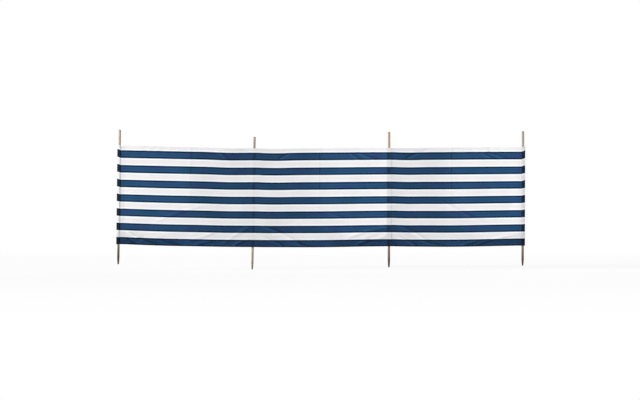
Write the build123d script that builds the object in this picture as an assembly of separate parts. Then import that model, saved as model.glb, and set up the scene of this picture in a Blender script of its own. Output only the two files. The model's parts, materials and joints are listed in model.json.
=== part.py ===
from build123d import *
import os
from math import atan2, cos, degrees, hypot, radians, tan

# Beach windbreak: three bays of striped cloth on four wooden poles.
# Millimetres. +X runs along the row to the right, +Y points to the back, +Z is up.
# The origin is the centre of the blunt tip of pole 2.

# the row as it is set up
bay_width = (1400.0, 1412.0, 1394.0)  # between pole axes, halfway up the cloth
edge_rise = (26.0, 0.0, 6.0, 11.0)  # height of the cloth's lower edge at each pole, over pole 2
pole_slip = (0.0, -28.0, -12.0, 0.0)  # how far each pole has slid along its sleeve
pole_lean = (0.7, 1.0, 0.1, 0.2)  # degrees that each pole leans to the right
bay_bulge = (-25.0, 25.0, 25.0)  # how far each bay is blown to the back (+) or to the front (-)

# poles
pole_diameter = 25.0
pole_length = (1400.0, 1381.0, 1410.0, 1400.0)  # each pole is sawn a little long or short
foot_taper_length = 62.0
foot_tip_diameter = 15.0
head_round = 4.0

# cloth
cloth_thickness = 1.0
stripe_height = 75.0
stripe_count = 13
top_band_height = 45.0
foot_below_cloth = 212.0  # pole showing under the cloth where it has not slid

# sleeves round the poles
pole_clearance = 0.4
sleeve_ease = 3.1  # room beside the pole where the sleeve's two layers come together
tunnel_stitched_width = 7.0  # the flat part of a middle sleeve that the stitches go through
pocket_ease = 5.1  # room outside an end pole, where the cloth turns round it
pocket_doubled_width = 39.0  # cloth that lies flat on itself beside an end pole
pocket_corner_lift = 15.0  # how far the outer top corner stands over the rest of the edge
fold_radius = 0.2  # inside of the cloth where it is folded or stitched together
turning_gap = 0.6  # between a middle sleeve and the end bay that turns about it

# hems
hem_thickness = 2.2
top_hem_height = 22.0
bottom_hem_height = 20.0

pole_count = len(edge_rise)
pole_radius = pole_diameter / 2
cloth_height = stripe_count * stripe_height + top_band_height
sleeve_inner_radius = pole_radius + pole_clearance
sleeve_outer_radius = sleeve_inner_radius + cloth_thickness
sleeve_flat_start = sleeve_outer_radius + sleeve_ease
tunnel_half_width = sleeve_flat_start + tunnel_stitched_width
pocket_reach = sleeve_outer_radius + pocket_ease
pocket_width = sleeve_flat_start + pocket_doubled_width
front_depth = sleeve_inner_radius + cloth_thickness / 2  # a middle pole stands behind the cloth
turning_radius = hypot(tunnel_half_width + turning_gap, front_depth - hem_thickness / 2) - 0.2
beyond = 200.0  # how far cutting shapes reach past what they cut
end_overrun = 1.0  # cloth made past each end of a bay, and cut off along the pole

cloth_bottom = [foot_below_cloth - pole_slip[1] + rise - edge_rise[1] for rise in edge_rise]
cloth_middle = [bottom + cloth_height / 2 for bottom in cloth_bottom]
tip_height = [bottom - foot_below_cloth + slip for bottom, slip in zip(cloth_bottom, pole_slip)]


def sideways(number, rise):
    """How far a pole's lean carries it to the right over a rise."""
    return rise * tan(radians(pole_lean[number]))


def x_beside(number, offset, height):
    """X of a line alongside a pole's axis, at a height."""
    along = sum(bay_width[:number]) - bay_width[0]
    middle_x = along + sideways(1, cloth_middle[1] - tip_height[1])
    lean = sideways(number, height - cloth_middle[number])
    return middle_x + lean + offset / cos(radians(pole_lean[number]))


def on_pole(number):
    """The place of a pole's tip, tilted with the pole."""
    height = tip_height[number]
    return Pos(x_beside(number, 0, height), 0, height) * Rot(0, pole_lean[number], 0)


def pole(number):
    """A dowel turned to a blunt foot, with a rounded head."""
    outline = Polyline(
        (0, 0),
        (foot_tip_diameter / 2, 0),
        (pole_radius, foot_taper_length),
        (pole_radius, pole_length[number]),
        (0, pole_length[number]),
        close=True,
    )
    dowel = revolve(Plane.XZ * make_face(outline), Axis.Z)
    head_edge = dowel.edges().sort_by(Axis.Z)[-1]
    return on_pole(number) * fillet(head_edge, head_round)


def prism(*corners):
    """An outline in the plane of the row, carried through from front to back."""
    return extrude(Plane.XZ * make_face(Polyline(*corners, close=True)), beyond, both=True)


def sleeve(number, section, outline):
    """A plan section run along a pole and cut to an outline."""
    tube = Pos(0, 0, foot_below_cloth - pole_slip[number] - beyond) * extrude(
        section, cloth_height + 2 * beyond
    )
    return (on_pole(number) * tube) & outline


def tunnel(number):
    """A middle sleeve: flat cloth before the pole, and a strip stitched to it round the back."""
    pinches = [(Pos(x, -sleeve_inner_radius) * Circle(fold_radius)).edges()
               for x in (-sleeve_flat_start + cloth_thickness, sleeve_flat_start - cloth_thickness)]
    front_y = -front_depth
    back_y = front_y + cloth_thickness
    wings = Pos(0, back_y) * Rectangle(2 * tunnel_half_width, cloth_thickness)
    foot = Pos(0, back_y) * Rectangle(2 * sleeve_flat_start, cloth_thickness)
    outer = make_hull(Circle(sleeve_outer_radius).edges() + foot.edges())
    inner = make_hull(Circle(sleeve_inner_radius).edges() + pinches[0] + pinches[1])
    behind_cloth = Pos(0, beyond / 2 - sleeve_inner_radius) * Rectangle(beyond, beyond)
    fixed_side = beyond / 2 if number == 1 else -beyond / 2
    turned_past = Circle(turning_radius) + Pos(fixed_side, 0) * Rectangle(beyond, beyond)
    cloth = Pos(0, front_y) * Rectangle(2 * tunnel_half_width, cloth_thickness)
    bottom, top = cloth_bottom[number], cloth_bottom[number] + cloth_height
    left = x_beside(number, -beyond, bottom)
    right = x_beside(number, beyond, bottom)
    outline = prism((left, bottom), (right, bottom), (right, top), (left, top))
    front = sleeve(number, cloth & turned_past, outline)
    back = sleeve(number, (wings + outer - inner) & behind_cloth, outline)
    return front, back


def pocket(number):
    """An end sleeve: the cloth goes loosely round the pole and lies doubled beside it."""
    inward = 1 if number == 0 else -1
    turn = Pos(-inward * (pocket_reach - fold_radius - cloth_thickness), 0)
    pinch = Pos(inward * (sleeve_flat_start - cloth_thickness), 0) * Circle(fold_radius)
    edge = Pos(inward * sleeve_flat_start, 0) * Rectangle(fold_radius, 2 * cloth_thickness)
    doubled = Pos(inward * (sleeve_flat_start + pocket_doubled_width / 2), 0) * Rectangle(
        pocket_doubled_width, 2 * cloth_thickness
    )
    bend = turn * Circle(fold_radius + cloth_thickness)
    outer = make_hull(Circle(sleeve_outer_radius).edges() + bend.edges() + edge.edges())
    inner = make_hull(
        Circle(sleeve_inner_radius).edges() + (turn * Circle(fold_radius)).edges() + pinch.edges()
    )
    bottom, top = cloth_bottom[number], cloth_bottom[number] + cloth_height
    climb = beyond * pocket_corner_lift / (sleeve_flat_start + pocket_reach)
    kink = x_beside(number, inward * sleeve_flat_start, top)
    near, far = kink + inward * beyond, kink - inward * beyond
    outline = prism((near, bottom), (far, bottom), (far, top + climb), (kink, top), (near, top))
    return sleeve(number, outer + doubled - inner, outline)


def bay_sides(bay):
    """How far a bay's cloth starts to the right of one pole and stops short of the next."""
    left = right = tunnel_half_width
    if bay == 0:
        left, right = pocket_width, tunnel_half_width + turning_gap
    if bay == pole_count - 2:
        left, right = tunnel_half_width + turning_gap, pocket_width
    return left, right


def edge_depth(number):
    """Y of the bays' cloth where it meets a sleeve."""
    return 0.0 if number in (0, pole_count - 1) else -front_depth


def blown_section(bay, height, thickness):
    """Plan of one bay at a height: a strip along a shallow arc, run past both ends."""
    left, right = bay_sides(bay)
    start, end = x_beside(bay, left, height), x_beside(bay + 1, -right, height)
    near, far = edge_depth(bay), edge_depth(bay + 1)
    half, depth = hypot(end - start, far - near) / 2, abs(bay_bulge[bay])
    radius = (half**2 + depth**2) / (2 * depth)
    centre_y = depth - radius if bay_bulge[bay] > 0 else radius - depth
    ring = Circle(radius + thickness / 2) - Circle(radius - thickness / 2)
    strip = (Pos(0, centre_y) * ring) & Rectangle(2 * (half + end_overrun), beyond)
    turned = Rot(0, 0, degrees(atan2(far - near, end - start)))
    return Pos((start + end) / 2, (near + far) / 2, height) * turned * strip


def bay_strip(bay, low, high, thickness):
    """Part of a bay's cloth, between two heights over its sloping lower edge."""
    base, top = min(cloth_bottom), max(cloth_bottom) + cloth_height
    blown = loft([blown_section(bay, height, thickness) for height in (base, top)])
    left, right = bay_sides(bay)
    corners = []
    for number, offset, heights in ((bay, left, (low, high)), (bay + 1, -right, (high, low))):
        for height in (cloth_bottom[number] + h for h in heights):
            corners.append((x_beside(number, offset, height), height))
    return blown & prism(*corners)


pieces = {}
for i in range(pole_count):
    pieces[f"pole_{i + 1}"] = pole(i)
    if i in (0, pole_count - 1):
        pieces[f"pocket_{i + 1}"] = pocket(i)
    else:
        pieces[f"tunnel_front_{i + 1}"], pieces[f"tunnel_back_{i + 1}"] = tunnel(i)
for i in range(pole_count - 1):
    top_of_panel = cloth_height - top_hem_height
    pieces[f"bottom_hem_{i + 1}"] = bay_strip(i, 0, bottom_hem_height, hem_thickness)
    pieces[f"panel_{i + 1}"] = bay_strip(i, bottom_hem_height, top_of_panel, cloth_thickness)
    pieces[f"top_hem_{i + 1}"] = bay_strip(i, top_of_panel, cloth_height, hem_thickness)

os.makedirs("parts", exist_ok=True)
for name, shape in pieces.items():
    solids = shape.solids()
    print(name, len(solids), "solid", round(sum(s.volume for s in solids)), "mm3")
    export_step(solids[0] if len(solids) == 1 else Compound(children=solids), f"parts/{name}.step")
for i in range(pole_count):
    tip = on_pole(i).position
    print(f"pole_{i + 1} tip", tuple(round(v, 3) for v in tip), "lean", pole_lean[i], "degrees")
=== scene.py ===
import json
import math
import bpy
import numpy as np
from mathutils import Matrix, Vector


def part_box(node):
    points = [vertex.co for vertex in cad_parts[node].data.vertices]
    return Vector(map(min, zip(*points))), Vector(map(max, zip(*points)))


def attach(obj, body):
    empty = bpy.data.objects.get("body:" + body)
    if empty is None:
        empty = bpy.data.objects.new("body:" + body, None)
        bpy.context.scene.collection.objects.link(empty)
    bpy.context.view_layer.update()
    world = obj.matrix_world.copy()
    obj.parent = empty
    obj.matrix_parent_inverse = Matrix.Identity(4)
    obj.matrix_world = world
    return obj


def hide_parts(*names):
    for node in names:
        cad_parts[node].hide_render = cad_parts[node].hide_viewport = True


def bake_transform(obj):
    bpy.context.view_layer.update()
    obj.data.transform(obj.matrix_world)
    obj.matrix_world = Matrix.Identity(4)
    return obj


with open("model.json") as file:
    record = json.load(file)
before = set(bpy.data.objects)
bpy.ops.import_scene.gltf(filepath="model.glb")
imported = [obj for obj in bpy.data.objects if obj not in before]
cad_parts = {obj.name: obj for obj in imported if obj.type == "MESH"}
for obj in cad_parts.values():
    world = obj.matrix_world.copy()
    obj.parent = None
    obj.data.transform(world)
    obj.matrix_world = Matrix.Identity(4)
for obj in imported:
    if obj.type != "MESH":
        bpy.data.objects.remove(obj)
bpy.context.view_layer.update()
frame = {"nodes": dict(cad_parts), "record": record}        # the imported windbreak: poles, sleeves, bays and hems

scene = bpy.context.scene
scene.view_settings.view_transform = "Standard"
record = frame["record"]
dice = np.random.default_rng(11)

# the row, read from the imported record
feet = []
for number in range(1, 5):
    foot = next(m for m in record["mounts"] if m["name"] == f"foot_{number}")
    head = next(m for m in record["mounts"] if m["name"] == f"head_{number}")
    feet.append({"tip": Vector(foot["pos_m"]), "up": -Vector(foot["axis"]).normalized(),
                 "length": (Vector(head["pos_m"]) - Vector(foot["pos_m"])).length})
leftBay, middleBay, rightBay = "left_bay", "middle_bay", "right_bay"
clothBottom = [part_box("pocket_1")[0].z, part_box("tunnel_front_2")[0].z,
               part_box("tunnel_front_3")[0].z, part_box("pocket_4")[0].z]
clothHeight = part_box("tunnel_front_2")[1].z - clothBottom[1]
poleRadius = (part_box("pole_2")[1].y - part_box("pole_2")[0].y) / 2


def poleX(index, height):
    foot = feet[index]
    return foot["tip"].x + foot["up"].x / foot["up"].z * (height - foot["tip"].z)


# how far the cloth of a sleeve goes to each side of its pole's axis
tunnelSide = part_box("tunnel_back_3")[1].x - poleX(2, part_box("tunnel_back_3")[1].z)
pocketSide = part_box("pocket_1")[1].x - poleX(0, clothBottom[0] + clothHeight)
pocketReach = poleX(0, clothBottom[0]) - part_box("pocket_1")[0].x
levelHeight = 0.75      # the height at which widths along the row are measured
bayWidth = 1.35         # a bay between its sleeves, about
print("row read:", [round(v, 4) for v in [*clothBottom, clothHeight, tunnelSide, pocketSide, pocketReach]])


def startPiece(name):
    # names the primitive that has just been added
    piece = bpy.context.object
    piece.name = name
    piece.data.name = name
    return piece


def applyModifier(piece, kind, name, **settings):
    bpy.ops.object.select_all(action="DESELECT")
    piece.select_set(True)
    bpy.context.view_layer.objects.active = piece
    modifier = piece.modifiers.new(name, kind)
    for key, value in settings.items():
        setattr(modifier, key, value)
    bpy.ops.object.modifier_apply(modifier=modifier.name)


def smoothStep(low, high, value):
    t = np.clip((value - low) / (high - low), 0, 1)
    return t * t * (3 - 2 * t)


def addNode(tree, kind, settings, inputs, output=0):
    node = tree.nodes.new(kind)
    for key, value in settings.items():
        if key == "stops":
            ramp = node.color_ramp
            while len(ramp.elements) < len(value):
                ramp.elements.new(1.0)
            for element, (position, colour) in zip(ramp.elements, value):
                element.position = position
                element.color = colour
        else:
            setattr(node, key, value)
    for key, value in inputs.items():
        if isinstance(value, Wire):
            tree.links.new(value.socket, node.inputs[key])
        else:
            node.inputs[key].default_value = value
    return Wire(node.outputs[output]) if len(node.outputs) else node


class Wire:
    # an output socket: sums on wires add the Math nodes
    def __init__(self, socket):
        self.socket = socket
        self.tree = socket.id_data

    def maths(self, operation, first, second=0.0):
        return addNode(self.tree, "ShaderNodeMath", {"operation": operation}, {0: first, 1: second})

    def __add__(self, other):
        return self.maths("ADD", self, other)

    def __radd__(self, other):
        return self.maths("ADD", other, self)

    def __sub__(self, other):
        return self.maths("SUBTRACT", self, other)

    def __rsub__(self, other):
        return self.maths("SUBTRACT", other, self)

    def __mul__(self, other):
        return self.maths("MULTIPLY", self, other)

    def __rmul__(self, other):
        return self.maths("MULTIPLY", other, self)

    def __truediv__(self, other):
        return self.maths("DIVIDE", self, other)

    def size(self):
        return self.maths("ABSOLUTE", self)

    def wave(self):
        return self.maths("SINE", self)

    def rest(self):
        return self.maths("FRACT", self)

    def root(self):
        return self.maths("SQRT", self)

    def least(self, other):
        return self.maths("MINIMUM", self, other)

    def most(self, other):
        return self.maths("MAXIMUM", self, other)

    def between(self, low, high):
        # 0 at low, 1 at high, smooth between
        settings = {"interpolation_type": "SMOOTHSTEP"}
        return addNode(self.tree, "ShaderNodeMapRange", settings, {0: self, 1: low, 2: high})


def linear(red, green, blue):
    # a screen colour from 0 to 255 as the light values that the shader takes
    made = [(c / 255 / 12.92) if c <= 10 else ((c / 255 + 0.055) / 1.055) ** 2.4 for c in (red, green, blue)]
    return (*made, 1.0)


def mixColour(tree, share, first, second, way="MIX"):
    settings = {"data_type": "RGBA", "blend_type": way}
    return addNode(tree, "ShaderNodeMix", settings, {0: share, 6: first, 7: second}, output=2)


def shadeBy(tree, colour, much):
    tint = addNode(tree, "ShaderNodeCombineXYZ", {}, {0: much, 1: much, 2: much})
    return mixColour(tree, 1.0, colour, tint, "MULTIPLY")


def noise(tree, place, scale, detail=3.0, roughness=0.55):
    inputs = {"Vector": place, "Scale": scale, "Detail": detail, "Roughness": roughness}
    return addNode(tree, "ShaderNodeTexNoise", {}, inputs)


def stretch(tree, place, scale):
    return addNode(tree, "ShaderNodeVectorMath", {"operation": "MULTIPLY"}, {0: place, 1: scale})


def apart(wire):
    # the three numbers of a vector, one wire each
    split = addNode(wire.tree, "ShaderNodeSeparateXYZ", {}, {0: wire}).socket.node
    return [Wire(split.outputs[i]) for i in range(3)]


def startMaterial(name, roughness, gloss):
    material = bpy.data.materials.new(name)
    material.use_nodes = True
    tree = material.node_tree
    tree.nodes.clear()
    surface = tree.nodes.new("ShaderNodeBsdfPrincipled")
    surface.inputs["Roughness"].default_value = roughness
    surface.inputs["Specular IOR Level"].default_value = gloss
    output = tree.nodes.new("ShaderNodeOutputMaterial")
    tree.links.new(surface.outputs[0], output.inputs[0])
    return material, tree, surface


def feed(surface, name, wire):
    surface.id_data.links.new(wire.socket, surface.inputs[name])


cameraLook = {"rowMiddle": 0.7062, "height": 0.723, "distance": 20.0, "widthSeen": 6.667, "sensor": 36.0}
cameraData = bpy.data.cameras.new("frontCamera")
camera = bpy.data.objects.new("frontCamera", cameraData)
scene.collection.objects.link(camera)
camera.location = (cameraLook["rowMiddle"], -cameraLook["distance"], cameraLook["height"])
camera.rotation_euler = (math.radians(90), 0, 0)
cameraData.sensor_width = cameraLook["sensor"]
cameraData.lens = cameraLook["sensor"] * cameraLook["distance"] / cameraLook["widthSeen"]
cameraData.clip_end = 200
scene.camera = camera
print("camera ready")

woodLook = {
    "late": linear(150, 112, 76),      # the darker wood of a growth ring
    "ring": 0.0021,                    # from one ring to the next
    "pith": 0.021,                     # from the dowel's axis to the heart of the tree
    "struck": linear(104, 88, 72),     # the darker wood at the very top
    # marks per metre, across the pole and up it
    "grain": (260, 260, 7), "slow": (9, 9, 2.2), "ragged": (70, 70, 16),
    # how far up from the tip each colour below is reached
    "heights": {"tip": 0.025, "half": 0.09, "under": 0.20, "bare": 0.30},
}
# the bare wood, and the darker wood below the cloth, half way down and at the tip;
# and how much lighter the right side is painted than the middle, as painted side light
poleLooks = {
    "pole_1": {"bare": (180, 162, 138), "under": (110, 104, 78),
               "half": (84, 66, 48), "tip": (46, 35, 30), "sided": 0.0},
    "pole_2": {"bare": (163, 146, 128), "under": (158, 146, 126),
               "half": (152, 138, 120), "tip": (128, 112, 98), "sided": 0.0},
    "pole_3": {"bare": (178, 157, 131), "under": (122, 100, 84),
               "half": (88, 66, 54), "tip": (44, 34, 30), "sided": 0.45},
    "pole_4": {"bare": (167, 152, 136), "under": (120, 106, 88),
               "half": (84, 65, 54), "tip": (46, 35, 30), "sided": 0.5},
}


def woodMaterial(index, look):
    material, tree, surface = startMaterial(f"pineDowel{index + 1}", 0.6, 0.3)
    coordinates = addNode(tree, "ShaderNodeTexCoord", {}, {}, 3)
    foot = feet[index]
    lean = math.atan2(foot["up"].x, foot["up"].z)
    place = addNode(tree, "ShaderNodeMapping", {"vector_type": "TEXTURE"},
                    {"Vector": coordinates, "Location": foot["tip"], "Rotation": (0, lean, 0)})
    across, back, up = apart(place)
    grain = noise(tree, stretch(tree, place, woodLook["grain"]), 1.0, 4.0, 0.6)
    slow = noise(tree, stretch(tree, place, woodLook["slow"]), 1.0 + 0.13 * index, 2.0)
    # growth rings about a pith outside the dowel, cut through at a slight slope
    awayX = across - woodLook["pith"] * math.cos(index * 2.1) + up * 0.006 + slow * 0.004
    awayY = back - woodLook["pith"] * math.sin(index * 2.1)
    rings = ((awayX * awayX + awayY * awayY).root() * (2 * math.pi / woodLook["ring"])).wave() * 0.5 + 0.5
    # the colour changes up the pole, with ragged edges between
    ragged = noise(tree, stretch(tree, place, woodLook["ragged"]), 1.0, 3.0)
    length = foot["length"]
    stops = [(height / length, linear(*look[word])) for word, height in woodLook["heights"].items()]
    along = (up + (ragged - 0.5) * 0.06) / length
    wood = addNode(tree, "ShaderNodeValToRGB", {"stops": stops}, {0: along})
    wood = mixColour(tree, (rings * 0.6 + grain * 0.4).between(0.45, 0.95) * 0.28, wood, woodLook["late"])
    # painted side light: the right side of the pole is drawn lighter and the left darker
    paler = across * (look["sided"] / poleRadius)
    wood = shadeBy(tree, wood, 1.06 + (grain - 0.5) * 0.5 + (slow - 0.5) * 0.3 + paler)
    struck = (up + (ragged - 0.5) * 0.012).between(length - 0.012, length - 0.001)
    wood = mixColour(tree, struck * 0.55, wood, woodLook["struck"])
    feed(surface, "Base Color", wood)
    feed(surface, "Roughness", 0.55 + grain * 0.2)
    height = grain + rings * 0.4 + ragged * 0.5
    bump = addNode(tree, "ShaderNodeBump", {}, {"Strength": 0.4, "Distance": 0.0006, "Height": height})
    feed(surface, "Normal", bump)
    return material


bpy.ops.object.select_all(action="DESELECT")
for index, (node, look) in enumerate(poleLooks.items()):
    pole = frame["nodes"][node]
    pole.data.materials.clear()
    pole.data.materials.append(woodMaterial(index, look))
print("poles finished")


# how the cloth goes round the poles, seen from above
def arcPoints(radius, first, last, step=3.0):
    onward = step * np.sign(last - first)
    angles = np.radians(np.arange(first, last + onward / 2, onward))
    return list(zip(radius * np.cos(angles), radius * np.sin(angles)))


pathStep = 0.0005      # from point to point on a rounded path


def roundedPath(points, softness=7):
    # a path through corner points as evenly spaced, gently rounded points
    points = np.array(points, float)
    along = np.concatenate([[0], np.cumsum(np.hypot(*np.diff(points, axis=0).T))])
    steps = np.linspace(0, along[-1], int(along[-1] / pathStep) + 1)
    path = np.stack([np.interp(steps, along, points[:, k]) for k in (0, 1)], 1)
    kernel = np.ones(softness) / softness
    padded = np.pad(path, ((softness // 2, softness // 2), (0, 0)), mode="reflect", reflect_type="odd")
    return np.stack([np.convolve(padded[:, k], kernel, mode="valid") for k in (0, 1)], 1)


hemLook = {
    "bottom": 0.020, "top": 0.022, "fold": 0.0008,
    "gap": 0.0007,      # from one layer of cloth to the next
}
sleeveLook = {
    "clothThickness": 0.0006,
    "flatStart": 0.017,                  # where the two layers meet, beside the pole
    "tipRoom": 0.0045,                   # how much further out an end sleeve's fold lies than the plain one's
    "flapGap": 3 * hemLook["gap"],       # room in an end pocket for the two hems turned in
    "stripGap": 4 * hemLook["gap"],      # and in a middle sleeve for the hems and the end bay's tucked edge
    "tuck": 0.006,                       # how far that edge goes in
    "turn": 4.0,                         # degrees that the middle sleeves have turned about their poles
    "pocketDepth": -0.008,               # where the end pockets' flat part lies, before the pole's axis
    "tipDepth": -0.007,                  # and their outer fold
}
clothRadius = poleRadius + 0.0012      # middle of the cloth's thickness, round a pole, with room for a hem


def tangentTurn(x, y):
    # how far round the pole, in degrees from the line to the point, a straight piece of cloth meets it
    return math.degrees(math.acos(clothRadius / math.hypot(x, y)))


def turned(points):
    turn = math.radians(sleeveLook["turn"])
    cosine, sine = math.cos(turn), math.sin(turn)
    return [(x * cosine - y * sine, x * sine + y * cosine) for x, y in points]


def frontOfTunnel():
    # the cloth passes before a middle pole
    return turned([(-tunnelSide, -clothRadius), (0, -clothRadius - 0.0001), (tunnelSide, -clothRadius)])


def backOfTunnel():
    # stitched flat to the front cloth at both sides, and round the back of the pole between
    flat, near = sleeveLook["flatStart"], -clothRadius + sleeveLook["stripGap"]
    first = math.degrees(math.atan2(near, flat)) + tangentTurn(flat, near)
    behind = arcPoints(clothRadius, 180 - first, first)
    return turned([(-tunnelSide, near), (-flat, near), *behind, (flat, near), (tunnelSide, near)])


def tuckedIn(side):
    # an end bay's edge, caught between the two layers of a middle sleeve
    edge, layer = tunnelSide, -clothRadius + sleeveLook["stripGap"] / 2
    return turned([(side * edge, layer), (side * (edge - sleeveLook["tuck"]), layer)][::-side])


def roundEndPole():
    # inward is +x: from the raw edge behind, loosely round the outside of the pole, to the front of the bay
    flat, near = sleeveLook["flatStart"], sleeveLook["pocketDepth"]
    back = near + sleeveLook["flapGap"]
    reach = pocketReach - sleeveLook["clothThickness"] / 2 + sleeveLook["tipRoom"]
    tip, wide = sleeveLook["tipDepth"], 1.6 * hemLook["gap"]
    fold = [(-reach + wide, tip + wide), (-reach, tip + wide / 3), (-reach, tip - wide / 3),
            (-reach + wide, tip - wide)]
    first = math.degrees(math.atan2(back, flat)) + tangentTurn(flat, back)
    behind = math.degrees(math.atan2(fold[0][1], fold[0][0])) % 360 - tangentTurn(*fold[0])
    before = math.degrees(math.atan2(fold[3][1], fold[3][0])) % 360 + tangentTurn(*fold[3])
    last = 360 + math.degrees(math.atan2(near, flat)) - tangentTurn(flat, near)
    return [(pocketSide, back), (flat, back), *arcPoints(clothRadius, first, behind), *fold,
            *arcPoints(clothRadius, before, last), (flat, near), (pocketSide, near)]


# where painted shade lies on the cloth over a pole, or with a minus a painted highlight: how far beside the axis,
# half width, how much
poleShadeLook = {
    "middle": {1: (0.004, 0.013, 0.55), 2: (-0.006, 0.013, 0.60)},
    "endBase": {0: 1.0, 3: 0.80},            # all over an end pole's sleeve,
    "endTo": {0: 0.0170, 3: 0.0150},         # as far inward as this
    "end": {0: [(-0.007, 0.0040, 0.12), (0.0135, 0.0040, 0.12), (0.0038, 0.0032, -0.60)],
            3: [(0.0080, 0.0065, 0.35), (-0.0065, 0.0050, 0.15)]},
}
# and where painted shade greys the white, or with a minus painted light freshens it, over an end pole
whiteShadeLook = {
    0: [(-0.006, 0.0040, 0.05), (0.011, 0.0100, -0.12)],
    3: [(0.010, 0.0090, 0.28), (-0.014, 0.0100, -0.19)],
}


def humps(looks, beside):
    return sum(much * np.exp(-((beside - centre) / wide) ** 2) for centre, wide, much in looks)


def poleShadeAt(pole, beside):
    # 0 for plain cloth, 1 for the darkest painted shade, below 0 for a painted highlight
    if pole in poleShadeLook["middle"]:
        return humps([poleShadeLook["middle"][pole]], beside)
    # an end pole's sleeve gets painted shade all over, with painted shade and highlight humps across it
    edge, soft = poleShadeLook["endTo"][pole], 0.0025
    over = smoothStep(edge + soft, edge - soft, beside)
    return poleShadeLook["endBase"][pole] * over + humps(poleShadeLook["end"][pole], beside)


def stationsOnPath(points, pole, mirrored=False, spacing=0.0022):
    # places across the cloth, one for each column of a sheet's points, that stay beside one pole
    path = roundedPath(points)
    if mirrored:
        path = path[::-1] * (-1, 1)
    length = (len(path) - 1) * pathStep
    picks = np.unique(np.linspace(0, len(path) - 1, int(length / spacing) + 1).astype(int))
    tangent = np.gradient(path, axis=0)
    tangent /= np.maximum(np.hypot(*tangent.T), 1e-9)[:, None]
    inward = -1 if mirrored else 1
    rows = []
    for k in picks:
        beside = path[k, 0] * inward
        dim = float(humps(whiteShadeLook.get(pole, []), beside))
        rows.append({"left": pole, "right": pole, "share": 0.0, "offset": path[k, 0], "depth": path[k, 1],
                     "behindX": -tangent[k, 1], "behindY": tangent[k, 0], "along": k * pathStep, "bay": -1,
                     "deep": float(poleShadeAt(pole, beside)), "dim": dim})
    return rows, length


# the pressed line down each bay: its place as a share of the width, its ridge and the painted shade along it
foldLook = {
    "share": [0.522, 0.486, 0.478], "ridge": 0.0016, "wide": 0.010, "paintedLineShade": 0.8, "line": 0.0035,
    "steps": [-9, -6, -4, -2.6, -1.3, 0, 1.3, 2.6, 4, 6, 9],      # stations beside it, in millimetres
    "clear": 0.011,
}
# how much of an end bay's cloth lies beside the middle sleeve, and how closely its stations are spaced there
turnLook = {"length": 0.055, "spacing": 0.0028}


def stationsOnBay(bay, left, right, spacing=0.008):
    # places between two sleeves' edges, each given as across and back from its pole, closer at the fold
    width = poleX(bay + 1, levelHeight) + right[0] - poleX(bay, levelHeight) - left[0]
    fold = foldLook["share"][bay]
    near = fold + np.array(foldLook["steps"]) * 0.001 / width
    even = np.linspace(0, 1, int(round(width / spacing)) + 1)
    even = even[np.abs(even - fold) > foldLook["clear"] / width]
    if bay != 1:
        closer = np.arange(0, turnLook["length"] * 1.2, turnLook["spacing"]) / width
        closer = 1 - closer if bay == 0 else closer
        even = even[(even < closer.min() - 0.001) | (even > closer.max() + 0.001)]
        near = np.concatenate([near, closer])
    rows = []
    for share in np.sort(np.concatenate([even, near])):
        offset, depth = (left[k] * (1 - share) + right[k] * share for k in (0, 1))
        rows.append({"left": bay, "right": bay + 1, "share": share, "offset": offset, "depth": depth,
                     "behindX": 0.0, "behindY": 1.0, "along": share * width, "bay": bay,
                     "deep": 0.0, "dim": 0.0})
    return rows, width


def joinStations(*runs):
    # one sheet's stations, with the distance along the cloth carried on
    joined, start = [], 0.0
    for rows, length in runs:
        for row in rows[1:] if joined else rows:
            joined.append({**row, "along": row["along"] + start})
        start += length
    return {key: np.array([row[key] for row in joined], float) for key in joined[0]}, start


clothLook = {
    "navy": linear(27, 65, 103), "white": linear(233, 230, 231), "stripe": 0.075,
    "navyShare": 0.516,                                            # of each pair of stripes
    "teal": linear(14, 62, 90), "violet": linear(34, 52, 100),     # the navy drifts towards these
    "fresh": linear(247, 253, 254),                                # the white beside the navy,
    "bled": linear(204, 224, 244),                                 # and in the last millimetres
    "drift": 0.008,      # the stripes lie a little closer together towards the lower edge
    "weave": 0.0011,     # over one thread and under the next
}


def clothRows():
    # heights up the cloth, from the edge of the lower hem's flap to the edge of the upper one's
    fold, low, high = hemLook["fold"], hemLook["bottom"], hemLook["top"]
    roundFold = [-fold * 1.5, -fold * 0.7, 0, fold * 0.7, fold * 1.5]
    lower = [-low, -low * 0.6, -low * 0.25, *roundFold, 0.006, 0.012]
    upper = [-0.012, -0.006, *roundFold, high * 0.25, high * 0.6, high]
    middle = np.linspace(low, clothHeight - high, 123)
    return np.array([*lower, *middle, *[clothHeight + up for up in upper]])


# how the bays hang
bulge = [-0.0255, 0.029, 0.029]      # how far back the middle of each bay is blown
edgeLook = {"cornerLift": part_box("pocket_1")[1].z - clothBottom[0] - clothHeight}
# where a bay hangs below a straight line: share of its width, how wide, at the lower and the upper edge
dips = [
    {"bay": 0, "at": 0.35, "wide": 0.28, "lower": 0.006, "upper": 0.001},
    {"bay": 0, "at": 0.75, "wide": 0.20, "lower": 0.003, "upper": 0.001},
    {"bay": 0, "at": 0.82, "wide": 0.12, "lower": 0.0, "upper": 0.005},
    {"bay": 1, "at": 0.15, "wide": 0.12, "lower": 0.0, "upper": 0.005},
    {"bay": 1, "at": 0.20, "wide": 0.25, "lower": 0.002, "upper": 0.001},
    {"bay": 2, "at": 0.33, "wide": 0.20, "lower": 0.004, "upper": 0.001},
    {"bay": 1, "at": 0.52, "wide": 0.28, "lower": 0.006, "upper": 0.0},
    {"bay": 2, "at": 0.14, "wide": 0.10, "lower": 0.002, "upper": 0.004},
    {"bay": 2, "at": 0.58, "wide": 0.28, "lower": 0.008, "upper": -0.001},
]
stretched = [0.003, 0.007, 0.005, 0.003]      # how far the lower edge has been pulled down each pole
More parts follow.
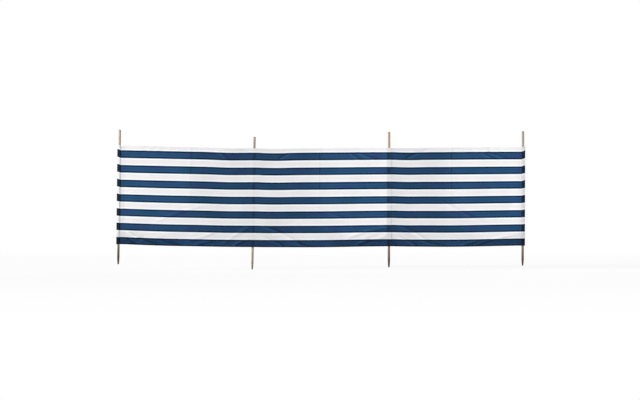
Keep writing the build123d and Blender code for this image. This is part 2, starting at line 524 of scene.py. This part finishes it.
# soft waves: metres from the bay's left pole, height up the cloth, spread, angle, wave length, depth
wrinkles = {
    0: [
        {"x": 0.16, "up": 0.05, "along": 0.12, "across": 0.06, "angle": 35, "wave": 0.07, "depth": 0.0032},
        {"x": 0.4, "up": 0.06, "along": 0.14, "across": 0.05, "angle": 24, "wave": 0.085, "depth": 0.0026},
        {"x": 0.55, "up": 0.42, "along": 0.18, "across": 0.03, "angle": 12, "wave": 0.09, "depth": 0.0016},
        {"x": 0.3, "up": 0.97, "along": 0.26, "across": 0.05, "angle": 55, "wave": 0.085, "depth": 0.0018},
    ],
    1: [
        {"x": 0.2, "up": 0.16, "along": 0.12, "across": 0.05, "angle": 24, "wave": 0.08, "depth": 0.0018},
        {"x": 1.2, "up": 0.08, "along": 0.16, "across": 0.06, "angle": 26, "wave": 0.08, "depth": 0.003},
        {"x": 0.55, "up": 0.44, "along": 0.12, "across": 0.04, "angle": -20, "wave": 0.07, "depth": 0.0016},
        {"x": 1.1, "up": 0.95, "along": 0.16, "across": 0.05, "angle": -40, "wave": 0.06, "depth": 0.0018},
    ],
    2: [
        {"x": 0.24, "up": 0.12, "along": 0.14, "across": 0.06, "angle": -28, "wave": 0.075, "depth": 0.0026},
        {"x": 0.88, "up": 0.34, "along": 0.16, "across": 0.04, "angle": -34, "wave": 0.07, "depth": 0.002},
        {"x": 1.18, "up": 0.05, "along": 0.14, "across": 0.05, "angle": 26, "wave": 0.07, "depth": 0.0026},
        {"x": 1.08, "up": 0.97, "along": 0.22, "across": 0.05, "angle": -50, "wave": 0.08, "depth": 0.0018},
    ],
}
# where the upper edge is caught up: metres from the bay's left pole, and how high
tugs = [
    {"bay": 0, "x": 0.21, "high": 0.0022}, {"bay": 0, "x": 0.36, "high": 0.0022},
    {"bay": 1, "x": 1.04, "high": 0.0024}, {"bay": 1, "x": 1.20, "high": 0.0024},
    {"bay": 2, "x": 1.03, "high": 0.0022}, {"bay": 2, "x": 1.18, "high": 0.0018},
]
# where the lower edge turns back, along the row
curls = [
    {"from": -1.42, "to": -0.66, "back": 0.006},
    {"from": 0.72, "to": 1.62, "back": 0.005},
    {"from": 2.16, "to": 2.86, "back": 0.005},
]
# where painted shade darkens the lower edge, along the row and up the cloth
lowShadePatches = [
    {"from": -1.50, "to": -0.76, "up": 0.085, "much": 0.60},
    {"from": -1.50, "to": -1.20, "up": 0.150, "much": 0.45},
    {"from": -0.08, "to": -0.012, "up": 0.07, "much": 0.3},
    {"from": 0.035, "to": 0.11, "up": 0.07, "much": 0.3},
    {"from": 0.82, "to": 1.45, "up": 0.085, "much": 0.55},
    {"from": 1.20, "to": 1.44, "up": 0.150, "much": 0.35},
    {"from": 2.22, "to": 2.90, "up": 0.085, "much": 0.55},
    {"from": 2.66, "to": 2.90, "up": 0.140, "much": 0.25},
]
lowShade = {"height": 0.28, "much": 0.42}      # thinner painted shade all along the lower part
# where painted light makes the navy lighter, 1, or painted shade darker, -1: the left and right half of each bay,
# and each pole's sleeve
navyLightLook = {
    "halves": [(1, -1), (-1, 1), (-1, 1), (0, 0)], "sleeves": [1, -1, -1, 1], "much": 0.12,
}
creaseLook = {"height": 1.3, "shade": 2.0}      # how strongly the folds below show
# folds pressed into the cloth: ends as metres from the bay's left pole and up, bow, width, how far forward, and
# how strongly painted light and shade lie on its two flanks
creases = {
    0: [
        {"from": (0.97, 0.99), "to": (1.11, 0.885), "bow": 0.01, "wide": 0.014, "out": 0.003, "paintedCreaseLight": 0.5},
        {"from": (0.32, 0.23), "to": (0.86, 0.42), "bow": 0.02, "wide": 0.014, "out": 0.003, "paintedCreaseLight": 0.3},
        {"from": (0.03, 0.14), "to": (0.34, 0.01), "bow": -0.015, "wide": 0.012, "out": 0.0038, "paintedCreaseLight": 0.8},
        {"from": (0.03, 0.075), "to": (0.2, 0.004), "bow": -0.01, "wide": 0.01, "out": -0.0034, "paintedCreaseLight": 1.0},
        {"from": (0.68, 0.06), "to": (0.97, 0.155), "bow": -0.015, "wide": 0.013, "out": 0.003, "paintedCreaseLight": 0.4},
        {"from": (1.05, 0.02), "to": (1.37, 0.215), "bow": 0.015, "wide": 0.014, "out": 0.003, "paintedCreaseLight": 0.4},
        {"from": (1.16, 0.004), "to": (1.37, 0.09), "bow": 0.01, "wide": 0.01, "out": 0.0034, "paintedCreaseLight": 1.0},
        {"from": (0.36, 0.06), "to": (0.62, 0.004), "bow": -0.006, "wide": 0.01, "out": 0.0026, "paintedCreaseLight": 0.9},
        {"from": (0.74, 0.004), "to": (1.0, 0.07), "bow": 0.006, "wide": 0.01, "out": 0.0026, "paintedCreaseLight": 0.8},
    ],
    1: [
        {"from": (0.22, 0.905), "to": (0.4, 0.985), "bow": 0.01, "wide": 0.013, "out": -0.003, "paintedCreaseLight": 0.6},
        {"from": (0.95, 0.985), "to": (1.09, 0.895), "bow": -0.008, "wide": 0.011, "out": 0.003, "paintedCreaseLight": 0.6},
        {"from": (1.03, 0.985), "to": (1.27, 0.9), "bow": -0.012, "wide": 0.012, "out": 0.0032, "paintedCreaseLight": 0.6},
        {"from": (0.03, 0.235), "to": (0.5, 0.01), "bow": 0.02, "wide": 0.014, "out": 0.0042, "paintedCreaseLight": 0.8},
        {"from": (0.06, 0.105), "to": (0.3, 0.004), "bow": 0.01, "wide": 0.01, "out": 0.0034, "paintedCreaseLight": 1.0},
        {"from": (0.56, 0.44), "to": (0.94, 0.29), "bow": -0.01, "wide": 0.013, "out": 0.0025, "paintedCreaseLight": 0.3},
        {"from": (0.92, 0.08), "to": (1.38, 0.19), "bow": 0.02, "wide": 0.014, "out": 0.0035, "paintedCreaseLight": 0.5},
        {"from": (1.02, 0.01), "to": (1.38, 0.105), "bow": 0.015, "wide": 0.011, "out": 0.0036, "paintedCreaseLight": 1.0},
        {"from": (0.34, 0.06), "to": (0.6, 0.004), "bow": -0.006, "wide": 0.01, "out": 0.0026, "paintedCreaseLight": 0.8},
    ],
    2: [
        {"from": (0.14, 0.9), "to": (0.38, 0.985), "bow": 0.015, "wide": 0.015, "out": -0.0032, "paintedCreaseLight": 0.6},
        {"from": (0.94, 0.985), "to": (1.13, 0.895), "bow": -0.01, "wide": 0.012, "out": 0.003, "paintedCreaseLight": 0.6},
        {"from": (1.02, 0.985), "to": (1.25, 0.905), "bow": -0.012, "wide": 0.012, "out": 0.003, "paintedCreaseLight": 0.5},
        {"from": (0.54, 0.475), "to": (1.03, 0.235), "bow": -0.012, "wide": 0.012, "out": 0.0036, "paintedCreaseLight": 0.4},
        {"from": (0.03, 0.23), "to": (0.39, 0.055), "bow": 0.018, "wide": 0.014, "out": 0.0036, "paintedCreaseLight": 0.5},
        {"from": (0.06, 0.105), "to": (0.28, 0.004), "bow": 0.01, "wide": 0.01, "out": 0.0034, "paintedCreaseLight": 1.0},
        {"from": (0.32, 0.065), "to": (0.58, 0.004), "bow": -0.006, "wide": 0.01, "out": 0.0026, "paintedCreaseLight": 0.9},
        {"from": (0.72, 0.004), "to": (1.02, 0.07), "bow": 0.006, "wide": 0.01, "out": 0.0026, "paintedCreaseLight": 0.8},
        {"from": (0.9, 0.015), "to": (1.32, 0.11), "bow": 0.012, "wide": 0.012, "out": 0.0034, "paintedCreaseLight": 0.8},
    ],
}
# small ripples all over the bays: how many, the slowest and fastest in radians per metre, and how deep
rippleLook = {"count": 40, "slow": 8, "fast": 60, "depth": 0.020}


def wrinkleDepth(bay, share, up):
    x = share * bayWidth
    depth = np.zeros_like(x)
    for number, wrinkle in [(number, wrinkle) for number in wrinkles for wrinkle in wrinkles[number]]:
        turn = math.radians(wrinkle["angle"])
        dx, dz = x - wrinkle["x"], up - wrinkle["up"]
        window = np.exp(-(dx / wrinkle["along"]) ** 2 - (dz / wrinkle["across"]) ** 2) * (bay == number)
        across = -dx * math.sin(turn) + dz * math.cos(turn)
        depth += window * wrinkle["depth"] * np.cos(2 * math.pi * across / wrinkle["wave"])
    return depth


def creaseAt(bay, share, up):
    # how far forward the folds lie, and the painted light and shade along them, lighter on one flank and darker on
    # the other
    x = share * bayWidth
    forward, shaded = np.zeros_like(x), np.zeros_like(x)
    for number, crease in [(number, crease) for number in creases for crease in creases[number]]:
        start, end = np.array(crease["from"]), np.array(crease["to"])
        length = math.hypot(*(end - start))
        way = (end - start) / length
        along = ((x - start[0]) * way[0] + (up - start[1]) * way[1]) / length
        across = (up - start[1]) * way[0] - (x - start[0]) * way[1] - crease["bow"] * 4 * along * (1 - along)
        window = smoothStep(-0.06, 0.16, along) * smoothStep(1.06, 0.84, along) * (bay == number)
        ridge = window * np.exp(-(across / crease["wide"]) ** 2)
        forward += creaseLook["height"] * crease["out"] * ridge
        # painted light on one flank of each fold and painted shade on the other
        side = -math.copysign(1, way[1] * crease["out"])
        shaded += crease["paintedCreaseLight"] * side * creaseLook["shade"] * across / crease["wide"] * ridge
    return forward, shaded


ripples = []
for _ in range(rippleLook["count"]):
    turn = dice.uniform(-1.3, 1.3)
    size = rippleLook["slow"] * (rippleLook["fast"] / rippleLook["slow"]) ** dice.uniform(0, 1)
    ripples.append((size * math.cos(turn), size * math.sin(turn), dice.uniform(0, 2 * math.pi),
                    rippleLook["depth"] / size ** 1.45))


def rippleDepth(x, up):
    depth = np.zeros_like(x)
    for kx, kz, phase, size in ripples:
        depth += size * np.sin(kx * x + kz * up + phase)
    return depth


def windowOver(x, low, high, edge):
    return smoothStep(low - edge, low + edge, x) * smoothStep(high + edge, high - edge, x)


def insideBay(share, edge):
    # 0 at a bay's sides, and 1 from a share of its width inward
    return smoothStep(0, edge, share) * smoothStep(1, 1 - edge, share)


def dropOf(bay, share, part):
    # how far the cloth hangs below a straight line between its poles
    drop = np.zeros_like(share)
    for dip in dips:
        size = dip["lower"] * (1 - part) + dip["upper"] * part
        drop += size * np.exp(-((share - dip["at"]) / dip["wide"]) ** 2) * (bay == dip["bay"])
    return drop * insideBay(share, 0.06)


def clothPlace(stations, numbers, up):
    # numbers: which stations, up: metres up the cloth. Returns the places as rows of x, y, z
    here = {key: values[numbers] for key, values in stations.items()}
    left, right = here["left"].astype(int), here["right"].astype(int)
    bay = here["bay"].astype(int)
    share = here["share"]
    onFront = np.clip(up, 0, clothHeight)
    over = np.maximum(np.maximum(-up, up - clothHeight), 0)       # how far past the fold, on the flap
    fold = hemLook["fold"]
    pastFold = np.where(up < clothHeight / 2, -up, up - clothHeight)
    flap = hemLook["gap"] * smoothStep(0, 1, 0.5 + pastFold / (2 * fold))
    rise = onFront + np.where(up < 0, over, -over)
    part = rise / clothHeight

    bottoms, tips = np.array(clothBottom), np.array([foot["tip"].z for foot in feet])
    tipX = np.array([foot["tip"].x for foot in feet])
    slope = np.array([foot["up"].x / foot["up"].z for foot in feet])
    pulled = np.array(stretched)
    base = bottoms[left] * (1 - share) + bottoms[right] * share
    z = base + rise - dropOf(bay, share, part)
    z -= (pulled[left] * (1 - share) + pulled[right] * share) * np.clip(1 - part * 1.5, 0, 1)
    for tug in tugs:
        beside = (share * bayWidth - tug["x"]) / 0.022
        z += tug["high"] * np.exp(-beside ** 2) * part ** 8 * (bay == tug["bay"])
    # round an end pole the cloth is wrapped a little askew, so that its outer top corner stands higher
    endPole = ((left == 0) | (left == 3)) & (bay < 0)
    inward = np.where(left == 0, 1, -1)
    reach = sleeveLook["flatStart"] + pocketReach
    outwards = np.clip((sleeveLook["flatStart"] - here["offset"] * inward) / reach, 0, 1)
    z += np.where(endPole, edgeLook["cornerLift"] * outwards * part, 0)

    lineLeft = tipX[left] + slope[left] * (z - tips[left])
    lineRight = tipX[right] + slope[right] * (z - tips[right])
    x = lineLeft * (1 - share) + lineRight * share + here["offset"]
    blown = np.array([*bulge, 0.0])[bay]
    free = np.clip(4 * share * (1 - share), 0, 1) * (bay >= 0)
    y = here["depth"] + blown * free
    y += rippleDepth(x, z) * insideBay(share, 0.10) * (bay >= 0)
    y += wrinkleDepth(bay, share, rise) * insideBay(share, 0.03)
    y -= creaseAt(bay, share, rise)[0] * insideBay(share, 0.02)
    for curl in curls:
        window = windowOver(x, curl["from"], curl["to"], 0.06)
        turnedBack = curl["back"] * np.exp(-(rise / 0.06) ** 2) * window
        y += turnedBack * insideBay(share, 0.04)
    fromFold = (share - np.array([*foldLook["share"], 0.5])[bay]) * bayWidth
    y -= foldLook["ridge"] * np.exp(-np.abs(fromFold) / foldLook["wide"]) * (0.3 + 0.7 * part) * (bay >= 0)
    # the flaps lie behind the cloth
    x += here["behindX"] * flap
    y += here["behindY"] * flap
    return np.stack([x, y, z], 1)


def paintedShadeAt(stations, numbers, up, places):
    # the painted shade and highlight on the navy, the painted shade on the white, the painted shade by the lower
    # edge, and the painted light on the navy
    rise = np.where(up < 0, -up, np.where(up > clothHeight, 2 * clothHeight - up, up))
    bay, share = stations["bay"][numbers].astype(int), stations["share"][numbers]
    fromFold = (share - np.array([*foldLook["share"], 0.5])[bay]) * bayWidth
    # painted shade along the pressed fold line
    line = foldLook["paintedLineShade"] * np.exp(-(fromFold / foldLook["line"]) ** 2) * smoothStep(0.3, 0.7, rise)
    deep = stations["deep"][numbers] + line * (bay >= 0) + creaseAt(bay, share, rise)[1]
    # painted shade by the lower edge, which also makes the cloth a little rougher
    soil = lowShade["much"] * np.exp(-(rise / lowShade["height"]) ** 2)
    for patch in lowShadePatches:
        window = windowOver(places[:, 0], patch["from"], patch["to"], 0.10)
        soil += patch["much"] * np.exp(-(rise / patch["up"]) ** 4) * window
    # painted light and shade on the navy, by the halves of each bay and by the sleeves
    halves, sleeves = np.array(navyLightLook["halves"]), np.array(navyLightLook["sleeves"])
    navyLight = halves[bay, 0] + (halves[bay, 1] - halves[bay, 0]) * smoothStep(-0.15, 0.15, fromFold)
    navyLight = np.where(bay < 0, sleeves[stations["left"][numbers].astype(int)], navyLight)
    dim = stations["dim"][numbers] * smoothStep(0, 0.03, rise)
    return np.clip(deep, -0.6, 1.12), dim, np.clip(soil, 0, 1), navyLight * navyLightLook["much"]


def makeSheet(name, stations, length):
    rows = clothRows()
    columns = len(stations["along"])
    bpy.ops.object.select_all(action="DESELECT")
    bpy.ops.mesh.primitive_grid_add(x_subdivisions=columns - 1, y_subdivisions=len(rows) - 1, size=1)
    sheet = startPiece(name)
    flat = np.empty(len(sheet.data.vertices) * 3)
    sheet.data.vertices.foreach_get("co", flat)
    flat = flat.reshape(-1, 3)
    column = np.rint((flat[:, 0] + 0.5) * (columns - 1)).astype(int)
    row = np.rint((flat[:, 1] + 0.5) * (len(rows) - 1)).astype(int)
    places = clothPlace(stations, column, rows[row])
    sheet.data.vertices.foreach_set("co", places.ravel())
    # the UV map holds metres of cloth, along the row and up
    corner = np.empty(len(sheet.data.loops), int)
    sheet.data.loops.foreach_get("vertex_index", corner)
    up = rows[row[corner]]
    part = up / clothHeight
    woven = up + clothLook["drift"] * 4 * part * (1 - part)
    cut = np.stack([stations["along"][column[corner]], woven], 1)
    sheet.data.uv_layers[0].data.foreach_set("uv", cut.ravel())
    for word, values in zip(("deep", "dim", "soil", "faded"), paintedShadeAt(stations, column, rows[row], places)):
        sheet.data.attributes.new(word, "FLOAT", "POINT").data.foreach_set("value", values.astype(np.float32))
    sheet.data.update()
    thick = sleeveLook["clothThickness"]
    applyModifier(sheet, "SOLIDIFY", "thickness", thickness=thick, offset=0, use_even_offset=True)
    bpy.ops.object.shade_smooth()
    return sheet


def clothMaterial():
    material, tree, surface = startMaterial("stripedCotton", 0.7, 0.15)
    cut = addNode(tree, "ShaderNodeUVMap", {"uv_map": "UVMap"}, {})
    along, up, _ = apart(cut)
    threads = noise(tree, stretch(tree, cut, (900, 900, 1)), 1.0, 2.0)
    # navy over the lower part of each pair of stripes, from the lower edge up
    pair = 2 * clothLook["stripe"]
    navy = clothLook["navyShare"] / 2
    within = ((up.most(0.001) - clothLook["stripe"] / 2 + (threads - 0.5) * 0.0012) / pair + 0.5).rest()
    inside = (navy - (within - 0.5).size()) * pair      # metres inside a navy stripe
    navyShare = (inside * 1000 + 0.5).least(1.0).most(0.0)
    # the dye lies thicker beside a stripe's edges and thinner further in, and the white beside them is cooler
    paler = inside.between(0.014, 0.021) * (1 - inside.between(0.024, 0.034))
    border = (1 - inside.between(0.007, 0.021)) * inside.between(0.000, 0.004) - paler * 0.25
    beside = 1 - (inside * -1).between(0.004, 0.021)
    mottle = noise(tree, stretch(tree, cut, (14, 9, 1)), 1.0, 4.0)
    drift = noise(tree, stretch(tree, cut, (3.2, 9, 1)), 1.0, 1.0)
    slub = noise(tree, stretch(tree, cut, (12, 700, 1)), 1.0, 2.0)
    deep, dim, soil, faded = (addNode(tree, "ShaderNodeAttribute", {"attribute_name": word}, {}, 2)
                              for word in ("deep", "dim", "soil", "faded"))
    dye = mixColour(tree, drift.between(0.50, 0.72) * 0.6, clothLook["navy"], clothLook["teal"])
    dye = mixColour(tree, drift.between(0.48, 0.28) * 0.6, dye, clothLook["violet"])
    pale = mixColour(tree, beside, clothLook["white"], clothLook["fresh"])
    pale = mixColour(tree, 1 - (inside * -1).between(0.001, 0.005), pale, clothLook["bled"])
    cloth = mixColour(tree, navyShare, pale, dye)
    # painted light and shade: over the poles, along the fold and creases, by the lower edge and over each bay's
    # halves
    onNavy = (1 - deep * 0.84 - border * 0.94 * (1 - deep).most(0.0)) * (1 - soil * 0.50) * (1 + faded)
    onWhite = 1 - deep * 0.075 - dim - soil * 0.20
    shade = onWhite + (onNavy - onWhite) * navyShare
    shade = shade * (1.0 + (mottle - 0.5) * 0.07 + (slub - 0.5) * 0.06 + (threads - 0.5) * 0.05)
    feed(surface, "Base Color", shadeBy(tree, cloth, shade))
    feed(surface, "Roughness", 0.7 + (slub - 0.5) * 0.12 + soil * 0.15)
    # plain weave: warp and weft cross over and under
    warp = (along * (2 * math.pi / clothLook["weave"])).wave()
    weft = (up * (2 * math.pi / clothLook["weave"])).wave()
    height = warp * weft + slub
    bump = addNode(tree, "ShaderNodeBump", {}, {"Strength": 0.25, "Distance": 0.0002, "Height": height})
    feed(surface, "Normal", bump)
    return material


stripedCloth = clothMaterial()

# stitching: lock stitches that show on both sides of the layers they hold
threadLook = {
    "long": 0.0031, "pitch": 0.0043, "wide": 0.0005, "proud": 0.00025,
    "colour": linear(58, 78, 108), "worn": linear(150, 160, 176),
    "hemLow": 0.017, "hemHigh": 0.019,                # the rows from the cloth's lower and upper edge
    "pocket": (0.0200, 0.0520), "tunnel": 0.0205,     # and from a pole's axis
}


def threadMaterial():
    material, tree, surface = startMaterial("navyThread", 0.5, 0.4)
    coordinates = addNode(tree, "ShaderNodeTexCoord", {}, {}, 3)
    inputs = {"Vector": coordinates, "Scale": 900.0, "Distortion": 2.0}
    twist = addNode(tree, "ShaderNodeTexWave", {}, inputs, 1)
    fuzz = noise(tree, coordinates, 2500.0, 2.0)
    worn = mixColour(tree, fuzz * 0.3, threadLook["colour"], threadLook["worn"])
    feed(surface, "Base Color", shadeBy(tree, worn, 0.85 + twist * 0.3))
    bump = addNode(tree, "ShaderNodeBump", {}, {"Strength": 0.4, "Distance": 0.0001, "Height": twist})
    feed(surface, "Normal", bump)
    return material


def modelStitch():
    # one stitch along x: a five-sided barrel whose ends are drawn in where they enter the cloth
    bpy.ops.object.select_all(action="DESELECT")
    bpy.ops.mesh.primitive_cylinder_add(vertices=5, radius=0.5, depth=0.6, rotation=(0, math.radians(90), 0))
    stitch = startPiece("oneStitch")
    bpy.ops.object.transform_apply(location=False, rotation=True, scale=False)
    ends = [abs(face.normal.x) > 0.9 for face in stitch.data.polygons]
    bpy.ops.object.mode_set(mode="EDIT")
    bpy.ops.mesh.select_all(action="DESELECT")
    bpy.ops.object.mode_set(mode="OBJECT")
    stitch.data.polygons.foreach_set("select", ends)
    bpy.ops.object.mode_set(mode="EDIT")
    bpy.ops.mesh.select_mode(type="FACE")
    bpy.ops.mesh.extrude_faces_move(TRANSFORM_OT_shrink_fatten={"value": -0.2})
    bpy.ops.transform.resize(value=(1, 0.45, 0.75))
    bpy.ops.object.mode_set(mode="OBJECT")
    points = np.array([corner.co for corner in stitch.data.vertices])
    faces = [list(face.vertices) for face in stitch.data.polygons]
    bpy.data.objects.remove(stitch, do_unlink=True)
    low, high = points.min(0), points.max(0)
    return (points - low) / (high - low) - 0.5, faces


stitchPoints, stitchFaces = modelStitch()
print("stitch modelled:", len(stitchPoints), "points")


def placeBetween(stations, where, up):
    # the cloth's place at a station number with a fraction
    low = np.clip(np.floor(where).astype(int), 0, len(stations["along"]) - 2)
    part = (where - low)[:, None]
    return clothPlace(stations, low, up) * (1 - part) + clothPlace(stations, low + 1, up) * part


def stationAt(stations, pole, offset, last):
    # the station number that far beside a pole: the cloth passes twice round an end pole, first or last
    near = np.flatnonzero((stations["left"] == pole) & (stations["bay"] < 0))
    across = stations["offset"][near] - offset
    crossing = near[:-1][across[:-1] * across[1:] <= 0]
    k = crossing[-1 if last else 0]
    first, second = stations["offset"][k], stations["offset"][k + 1]
    return k + (offset - first) / (second - first)


def rowAlong(stations, length, up):
    # a row of stitches along the cloth: where each starts and ends, and its station number
    middle = np.arange(threadLook["pitch"], length - threadLook["pitch"], threadLook["pitch"])
    numbers = np.arange(len(stations["along"]))
    half = threadLook["long"] / 2
    ends = [np.interp(middle + side, stations["along"], numbers) for side in (-half, half)]
    places = [placeBetween(stations, end, np.full(len(middle), up)) for end in ends]
    return places + [np.interp(middle, stations["along"], numbers)]


def rowUp(stations, where):
    middle = np.arange(0.003, clothHeight - 0.003, threadLook["pitch"])
    half, same = threadLook["long"] / 2, np.full(len(middle), where)
    return [placeBetween(stations, same, middle + side) for side in (-half, half)] + [same]


def makeSeams(name, stations, rows):
    # rows: stitch ends, station numbers and how far behind the front cloth the last layer is
    points = []
    for (start, end, where), last in rows:
        low = np.floor(where).astype(int)
        back = np.stack([stations["behindX"][low], stations["behindY"][low], np.zeros(len(low))], 1)
        along = end - start
        along /= np.linalg.norm(along, axis=1)[:, None]
        side = np.cross(along, back)
        side /= np.linalg.norm(side, axis=1)[:, None]
        back = np.cross(side, along)
        middle = (start + end) / 2 + back * last / 2
        through = last + sleeveLook["clothThickness"] + 2 * threadLook["proud"]
        local = stitchPoints * (threadLook["long"], threadLook["wide"], through)
        ways = np.stack([along, side, back], 1)
        points.append((middle[:, None] + local[None] @ ways).reshape(-1, 3))
    points = np.concatenate(points)
    count = len(points) // len(stitchPoints)
    starts = range(0, len(points), len(stitchPoints))
    faces = [[corner + start for corner in face] for start in starts for face in stitchFaces]
    mesh = bpy.data.meshes.new(name)
    mesh.from_pydata(points.tolist(), [], faces)
    seams = bpy.data.objects.new(name, mesh)
    scene.collection.objects.link(seams)
    bpy.ops.object.select_all(action="DESELECT")
    seams.select_set(True)
    bpy.context.view_layer.objects.active = seams
    bpy.ops.object.mode_set(mode="EDIT")
    bpy.ops.mesh.select_all(action="SELECT")
    bpy.ops.mesh.normals_make_consistent(inside=False)
    bpy.ops.object.mode_set(mode="OBJECT")
    bpy.ops.object.shade_smooth()
    return seams, count


tunnelFront, tunnelBack, endWrap = frontOfTunnel(), backOfTunnel(), roundEndPole()
sleeveLeft, sleeveRight = tunnelFront[0], tunnelFront[-1]
tuckedLeft, tuckedRight = tuckedIn(-1), tuckedIn(1)
pocketLeft = endWrap[-1]
pocketRight = (-pocketLeft[0], pocketLeft[1])
wrapLeft = stationsOnPath(endWrap, 0)
wrapRight = stationsOnPath(endWrap, 3, mirrored=True)
bay1 = joinStations(wrapLeft, stationsOnBay(0, pocketLeft, tuckedLeft[0]), stationsOnPath(tuckedLeft, 1))
bay2 = joinStations(stationsOnPath(tunnelFront, 1), stationsOnBay(1, sleeveRight, sleeveLeft),
                    stationsOnPath(tunnelFront, 2))
bay3 = joinStations(stationsOnPath(tuckedRight, 2), stationsOnBay(2, tuckedRight[-1], pocketRight), wrapRight)
middleNodes = ["tunnel_front_2", "panel_2", "top_hem_2", "bottom_hem_2", "tunnel_front_3"]
sheets = {      # stations, the plain nodes each sheet takes the place of, and the poles it hangs on
    "clothBay1": (bay1, ["pocket_1", "panel_1", "top_hem_1", "bottom_hem_1"], ["pole_1", "pole_2"]),
    "clothBay2": (bay2, middleNodes, ["pole_2", "pole_3"]),
    "clothBay3": (bay3, ["pocket_4", "panel_3", "top_hem_3", "bottom_hem_3"], ["pole_3", "pole_4"]),
    "sleeveStrip2": (joinStations(stationsOnPath(tunnelBack, 1)), ["tunnel_back_2"], ["pole_2"]),
    "sleeveStrip3": (joinStations(stationsOnPath(tunnelBack, 2)), ["tunnel_back_3"], ["pole_3"]),
}


def moveWith(piece, name):
    # an end bay's cloth keeps its place; the middle bay's sheets go with the middle bay
    if name == "clothBay1":
        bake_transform(piece)
    elif name == "clothBay3":
        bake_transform(piece)
    else:
        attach(piece, middleBay)


def uprightRows(name, stations):
    # the rows that close the sleeves: their station numbers, and how far behind the last layer is
    pocket, tunnel = threadLook["pocket"], threadLook["tunnel"]
    if name == "clothBay1":
        return [stationAt(stations, 0, beside, True) for beside in pocket], sleeveLook["flapGap"]
    if name == "clothBay3":
        return [stationAt(stations, 3, -beside, False) for beside in pocket], sleeveLook["flapGap"]
    if name == "clothBay2":
        sides = [(pole, side * tunnel) for pole in (1, 2) for side in (-1, 1)]
        return [stationAt(stations, pole, beside, True) for pole, beside in sides], sleeveLook["stripGap"]
    return [], 0.0


thread = threadMaterial()
for name, ((stations, length), stoodFor, poles) in sheets.items():
    sheet = makeSheet(name, stations, length)
    sheet.data.materials.append(stripedCloth)
    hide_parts(*stoodFor)
    moveWith(sheet, name)
    rows = [(rowAlong(stations, length, up), hemLook["gap"])
            for up in (threadLook["hemLow"], clothHeight - threadLook["hemHigh"])]
    uprights, last = uprightRows(name, stations)
    rows += [(rowUp(stations, where), last) for where in uprights]
    seams, count = makeSeams("seams" + name[0].upper() + name[1:], stations, rows)
    seams.data.materials.append(thread)
    moveWith(seams, name)
    print(name, "made:", len(sheet.data.polygons), "faces,", round(length, 3), "m long,", count, "stitches")


def seenStraight(tree):
    # 1 for what the camera sees, also in a shiny surface or through a clear one
    path = tree.nodes.new("ShaderNodeLightPath")
    straight, shiny, clear = [Wire(path.outputs[f"Is {ray} Ray"])
                              for ray in ("Camera", "Glossy", "Transmission")]
    return straight.most(shiny).most(clear)


floorLook = {"size": 80.0, "colour": linear(250, 250, 250), "glow": 0.85, "near": 3.0, "far": 9.0}


def layFloor():
    bpy.ops.object.select_all(action="DESELECT")
    bpy.ops.mesh.primitive_plane_add(size=floorLook["size"], location=(cameraLook["rowMiddle"], 0, 0))
    floor = startPiece("studioFloor")
    material = bpy.data.materials.new("paleFloor")
    material.use_nodes = True
    tree = material.node_tree
    tree.nodes.clear()
    matt = addNode(tree, "ShaderNodeBsdfDiffuse", {}, {"Color": floorLook["colour"]})
    bright = addNode(tree, "ShaderNodeEmission", {}, {"Color": (1, 1, 1, 1), "Strength": 1.0})
    # white far from the row, and a faint shadow near it
    _, away, _ = apart(addNode(tree, "ShaderNodeTexCoord", {}, {}, 3))
    far = away.size().between(floorLook["near"], floorLook["far"])
    glow = floorLook["glow"] + far * (1 - floorLook["glow"])
    mixed = addNode(tree, "ShaderNodeMixShader", {}, {0: seenStraight(tree) * glow, 1: matt, 2: bright})
    addNode(tree, "ShaderNodeOutputMaterial", {}, {0: mixed})
    floor.data.materials.append(material)


worldLook = {"light": 0.09, "backdrop": 1.0}


def lightWorld():
    world = bpy.data.worlds.new("studio")
    scene.world = world
    world.use_nodes = True
    tree = world.node_tree
    tree.nodes.clear()
    ambient, backdrop = [addNode(tree, "ShaderNodeBackground", {}, {0: (1, 1, 1, 1), 1: worldLook[word]})
                         for word in ("light", "backdrop")]
    mixed = addNode(tree, "ShaderNodeMixShader", {}, {0: seenStraight(tree), 1: ambient, 2: backdrop})
    addNode(tree, "ShaderNodeOutputWorld", {}, {0: mixed})


layFloor()
lightWorld()
# where each soft lamp shines from, how strong, and how many degrees wide
lampLooks = {
    "keyLamp": {"from": (-8.86, -3.94, 2.42), "strength": 3.8, "spread": 24},
    "fillLamp": {"from": (4.2, -6.0, 2.0), "strength": 0.2, "spread": 60},
    "topLamp": {"from": (0.0, -0.6, 6.0), "strength": 1.15, "spread": 60},
    "backLamp": {"from": (3.0, 6.0, 1.4), "strength": 1.8, "spread": 40},
}
for name, look in lampLooks.items():
    lamp = bpy.data.lights.new(name, "SUN")
    lamp.energy = look["strength"]
    lamp.angle = math.radians(look["spread"])
    stand = bpy.data.objects.new(name, lamp)
    scene.collection.objects.link(stand)
    stand.rotation_mode = "QUATERNION"
    stand.rotation_quaternion = Vector(look["from"]).to_track_quat("Z", "Y")
print("floor and lamps ready")
